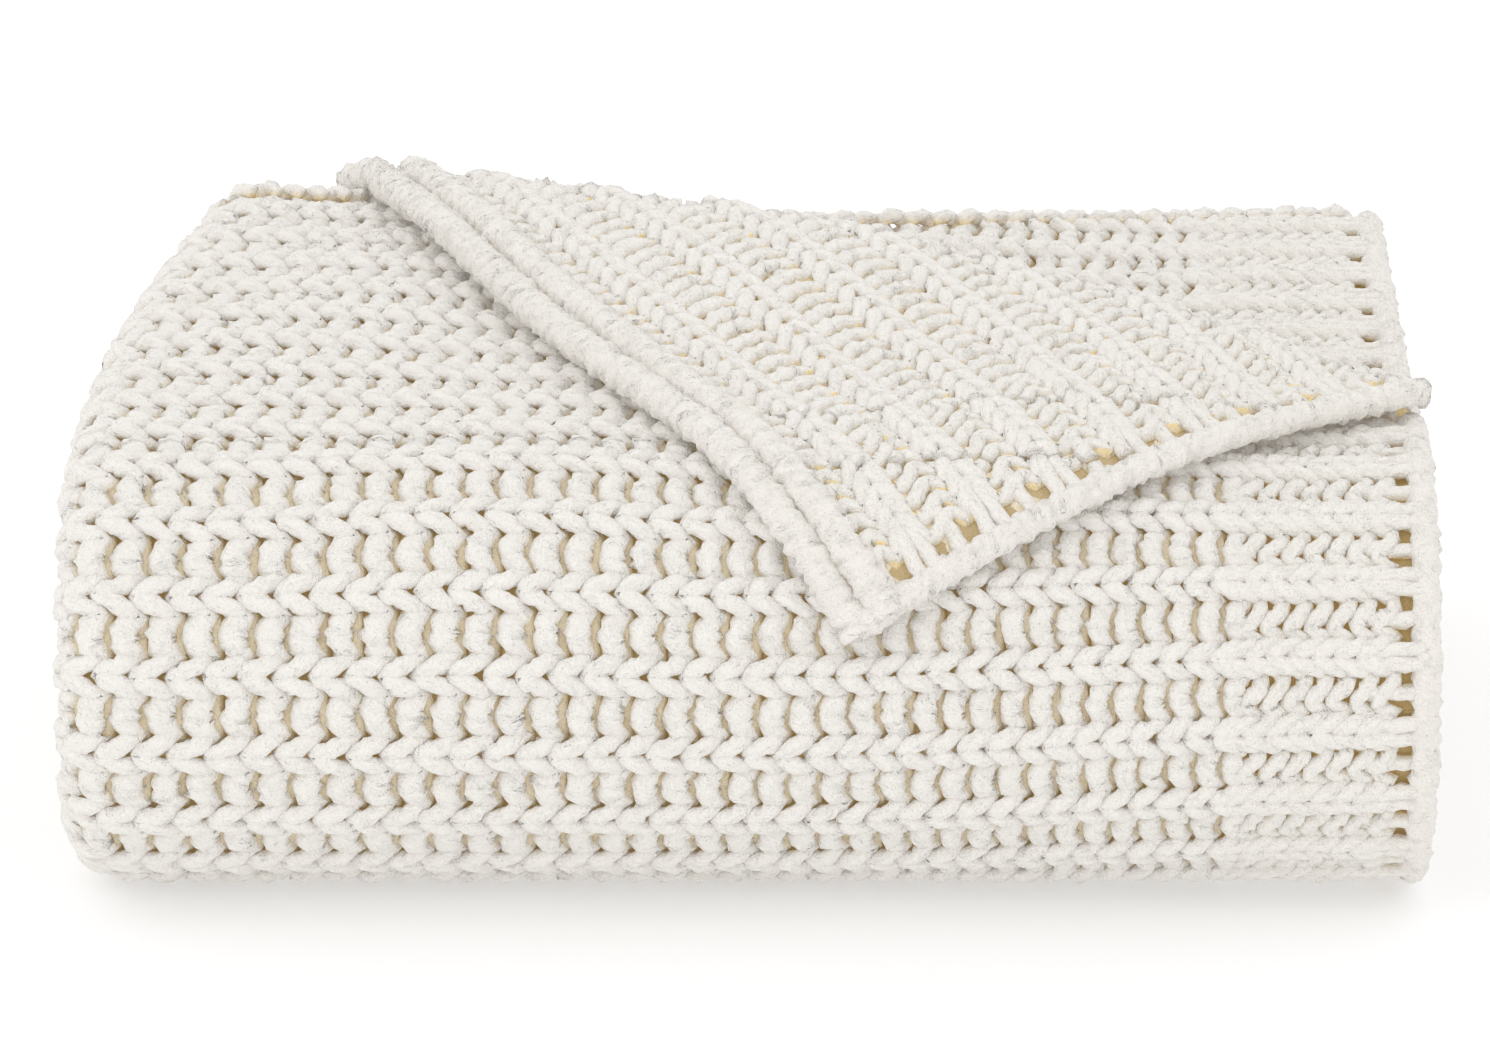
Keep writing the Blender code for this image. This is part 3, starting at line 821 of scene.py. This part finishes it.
PARTED = {"top": (0, 1, 0), "front_up": (1, 1.5, 0), "front_low": (1.5, 2, 2), "under": (2, 5, 2),
          "bend_low": (5, 5.5, 2), "bend_up": (5.5, 6, 6), "inside": (6, 7, 6)}
for leaf, q_edge, mid in (("first", CORD, MID_FIRST), ("second", ALONG[-1] - CORD, MID_SECOND)):
    marks = stations(mid)
    for stretch, (v_low, v_high, v_body) in PARTED.items():
        if leaf == "first" and stretch in ("front_up", "front_low"):
            v_low, v_high, v_body = {"front_up": (1, 2, 1), "front_low": (2, 2, 1)}[stretch]
        if v_low == v_high:
            continue
        start, end = np.interp([v_low, v_high], np.arange(8), marks)
        if leaf == "first" and v_low == 0:
            start = FLAP_SIDE - 2 * MM
        b = np.linspace(start, end, int((end - start) / (1.9 * MM)) + 1)
        edge_cord = cord(f"{leaf}_edge_{stretch}", on_path(mid), q_edge, b, 0.0, np.ones((1, len(b)), bool))
        ride_stretch(edge_cord, v_body)


def back_selvedge(v_sign):
    """A knit chain wrapped round the back edge of each leaf: its width turns through 150 degrees about a line
    inside the edge."""
    def place(q, b, h):
        turn = np.radians(150) * (b / KNIT - 0.5)
        reach_out = 3.2 * MM + 0.6 * h
        inset = (4.4 * MM - reach_out * np.cos(turn)) / (BACK - FRONT_Y)
        return on_pile(q, inset if v_sign > 0 else 7 - inset, 1.25 * reach_out * np.sin(turn))
    return place


CHAIN = np.arange(10 * MM, ALONG[7] - 8 * MM, 9.0 * MM)
CHAIN_PITCH = np.full(len(CHAIN), 9.0 * MM)
CHAIN_FROM = {"upper": RIGHT - FOLD_BACK[0] + 2 * MM, "inner": -np.inf}
for stack, v_sign in (("upper", 1), ("inner", -1)):
    chain = knit(f"{stack}_back_selvedge", back_selvedge(v_sign), CHAIN, CHAIN_PITCH, (0, 0), chain_stitch(),
                 lambda q, b: q > CHAIN_FROM[stack], "knit_field", phase=0.0, apart=True, ribs=np.array([0]))
    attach(chain, "upper_half")

# %% [markdown]
# ## Folded ends
# At the right the third and fourth leaves are one turn of cloth, so ribs run round it. Inside the front fold the
# left turn of the inner stack runs on round its own small bend.

# %% Right folds and the inner left turn
PAIR_STATIONS = stations(MID_PAIR)
PAIR = np.arange(ALONG[3] - 12 * MM, ALONG[4] + 22 * MM, 8.0 * MM)
PAIR_PITCH = np.full(len(PAIR), 8 * MM)
for stretch, (v_low, v_high, v_body) in PARTED.items():
    low, high = np.interp([v_low, v_high], np.arange(8), PAIR_STATIONS)
    low, high = low + 3 * MM * (v_low == 0), high - 3 * MM * (v_high == 7)
    fold = knit(f"right_fold_{stretch}", on_path(MID_PAIR), PAIR, PAIR_PITCH, (low, high), field_stitch(10, 6),
                lambda q, b: (b >= low) & (b <= high), "knit_field", sides=6)
    ride_stretch(fold, v_body)

LEFT_TURN = FIELD[FIELD > ALONG[1] - 12 * MM]
for stretch in ("bend_low", "bend_up"):
    v_low, v_high, v_body = PARTED[stretch]
    turn_piece = knit(f"inner_left_{stretch}", first_leaf, LEFT_TURN, np.full(len(LEFT_TURN), 10 * MM),
                      (FIRST_STATIONS[5] - 0.02, FIRST_STATIONS[6] + 0.02), field_stitch(12, 7),
                      lambda q, b: (stretch_of(q, b) >= v_low) & (stretch_of(q, b) <= v_high), "knit_field", sides=6,
                      phase=PHASE)
    ride_stretch(turn_piece, v_body)

# %% [markdown]
# ## Inside the front fold
# When the pile is opened like a book, the cloth that was pressed together inside the front fold shows. Each half
# has its own facing, which runs forward to the hinge line.

# %% Facings inside the front fold
def facing(up):
    """A leaf lying half its thickness above (up = 1) or below (up = -1) the mid plane, facing it."""
    def place(q, b, h):
        z = HALF + up * (LEAF / 2 - h) + 0 * q
        return settled(np.stack([RIGHT - q, FRONT_Y + 4 * MM - b, z], axis=-1))
    return place


def within(q, b):
    return (b >= 0) & (b <= REACH_IN) & (q < ALONG[1] + 5 * MM) & (q > 3 * MM)


REACH_IN = HALF - 2 * MM
FLAT_RUN = FIELD < ALONG[1]
for half, up in (("lower", -1), ("upper", 1)):
    for part, courses, pitch, stitch in (("field", FIELD[FLAT_RUN], FIELD_PITCH[FLAT_RUN], field_stitch(10, 6)),
                                         ("border", EDGE, EDGE_PITCH, border_stitch(10, 6))):
        piece = knit(f"{half}_facing_{part}", facing(up), courses, pitch, (0, REACH_IN), stitch, within,
                     "knit_field", sides=6, phase=2 * MM)
        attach(piece, f"{half}_half")
    q_grid, b_grid = np.meshgrid(np.linspace(3 * MM, ALONG[1], 40), np.linspace(0, REACH_IN, 10), indexing="ij")
    sheet = sheet_mesh(f"{half}_facing_cloth", facing(up)(q_grid, b_grid, CLOTH_H), "knit_inner")
    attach(sheet, f"{half}_half")

# %% [markdown]
# ## Bands of the turned corner
# Two fat cords run side by side along the corner's left edge, and a thinner one along its right-hand edge. Each is
# cut where one part of the corner ends and the next begins.

# %% Bands along the turned corner
def band_keep(inside_part, q, b):
    """The points inside a part, and one more at each end, so that the parts meet."""
    keep = inside_part(q, b)
    return keep | np.roll(keep, 1) | np.roll(keep, -1)


for band, b_edge, h_edge in (("outer", 0.5 * MM, -0.4 * MM), ("inner", 10.8 * MM, 1.7 * MM)):
    q = np.arange(0.0, 0.40, 1.6 * MM)
    for part, inside_part in FLAP_PARTS.items():
        keep = band_keep(inside_part, q, np.full(q.shape, b_edge))
        band_cord = cord(f"{part}_{band}_band", flap_face(1), q, b_edge, h_edge, keep[None], radius=5.7 * MM)
        ride_flap(band_cord, part)

b = np.arange(0.0, 0.26, 1.6 * MM)
q_edge = 3 * MM
for part, inside_part in FLAP_PARTS.items():
    keep = band_keep(inside_part, np.full(b.shape, q_edge), b)
    keep &= past_fold(np.full(b.shape, q_edge), b) > -0.4 * ROLL
    if keep.any():
        right_cord = cord(f"{part}_right_edge", flap_face(1), q_edge, b, 0.6 * MM, keep[None], radius=4.6 * MM)
        ride_flap(right_cord, part)

# %% [markdown]
# ## What stands in for the solids
# Every solid of every body is hidden; the knitted pieces show in their place.

# %% Stand-ins
nodes_of = {node: body for body, members in frame["record"]["behaviour"]["bodies"].items() for node in members}
for node, body in nodes_of.items():
    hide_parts(node)

# %% [markdown]
# ## The cloth's stretches, gathered
# Every sheet is one stretch of the same cloth. Its flat size is the length along the ribs by the length across
# them, measured halfway through the leaves that it carries. The code works out where each stretch begins and ends
# across the ribs and gathers the loop pieces of each sheet, each facing and each part of the turned corner, and
# does nothing more with them.

# %% Sheets
MIDDLE = stations(6 * LEAF)
LOOPS_OF = {"top_cloth": "top", "front_cloth": "front", "front_above": "front_up", "front_below": "front_low",
            "under_cloth": "under", "inside_cloth": "inside_lower", "upper_cloth": "inside_upper"}
for name, (v_low, v_high, rows, first_run, last_run) in CLOTH.items():
    low, high = np.interp([v_low, v_high], np.arange(8), MIDDLE)
    loops = [f"{LOOPS_OF[name]}_{kind}" for kind in ("field", "close_knit", "behind", "eyelets")]
    together = [piece for part, piece in pieces.items() if part in loops]
for half in ("lower", "upper"):
    together = [pieces[f"{half}_facing_field"], pieces[f"{half}_facing_border"]]
for part, (width, length, flat_area) in FLAP_FLAT.items():
    together = [piece for name, piece in pieces.items() if name.startswith(part + "_") and name != f"{part}_cloth"]
    together = [piece for piece in together if part != "tip" or not piece.name.startswith("tip_end")]
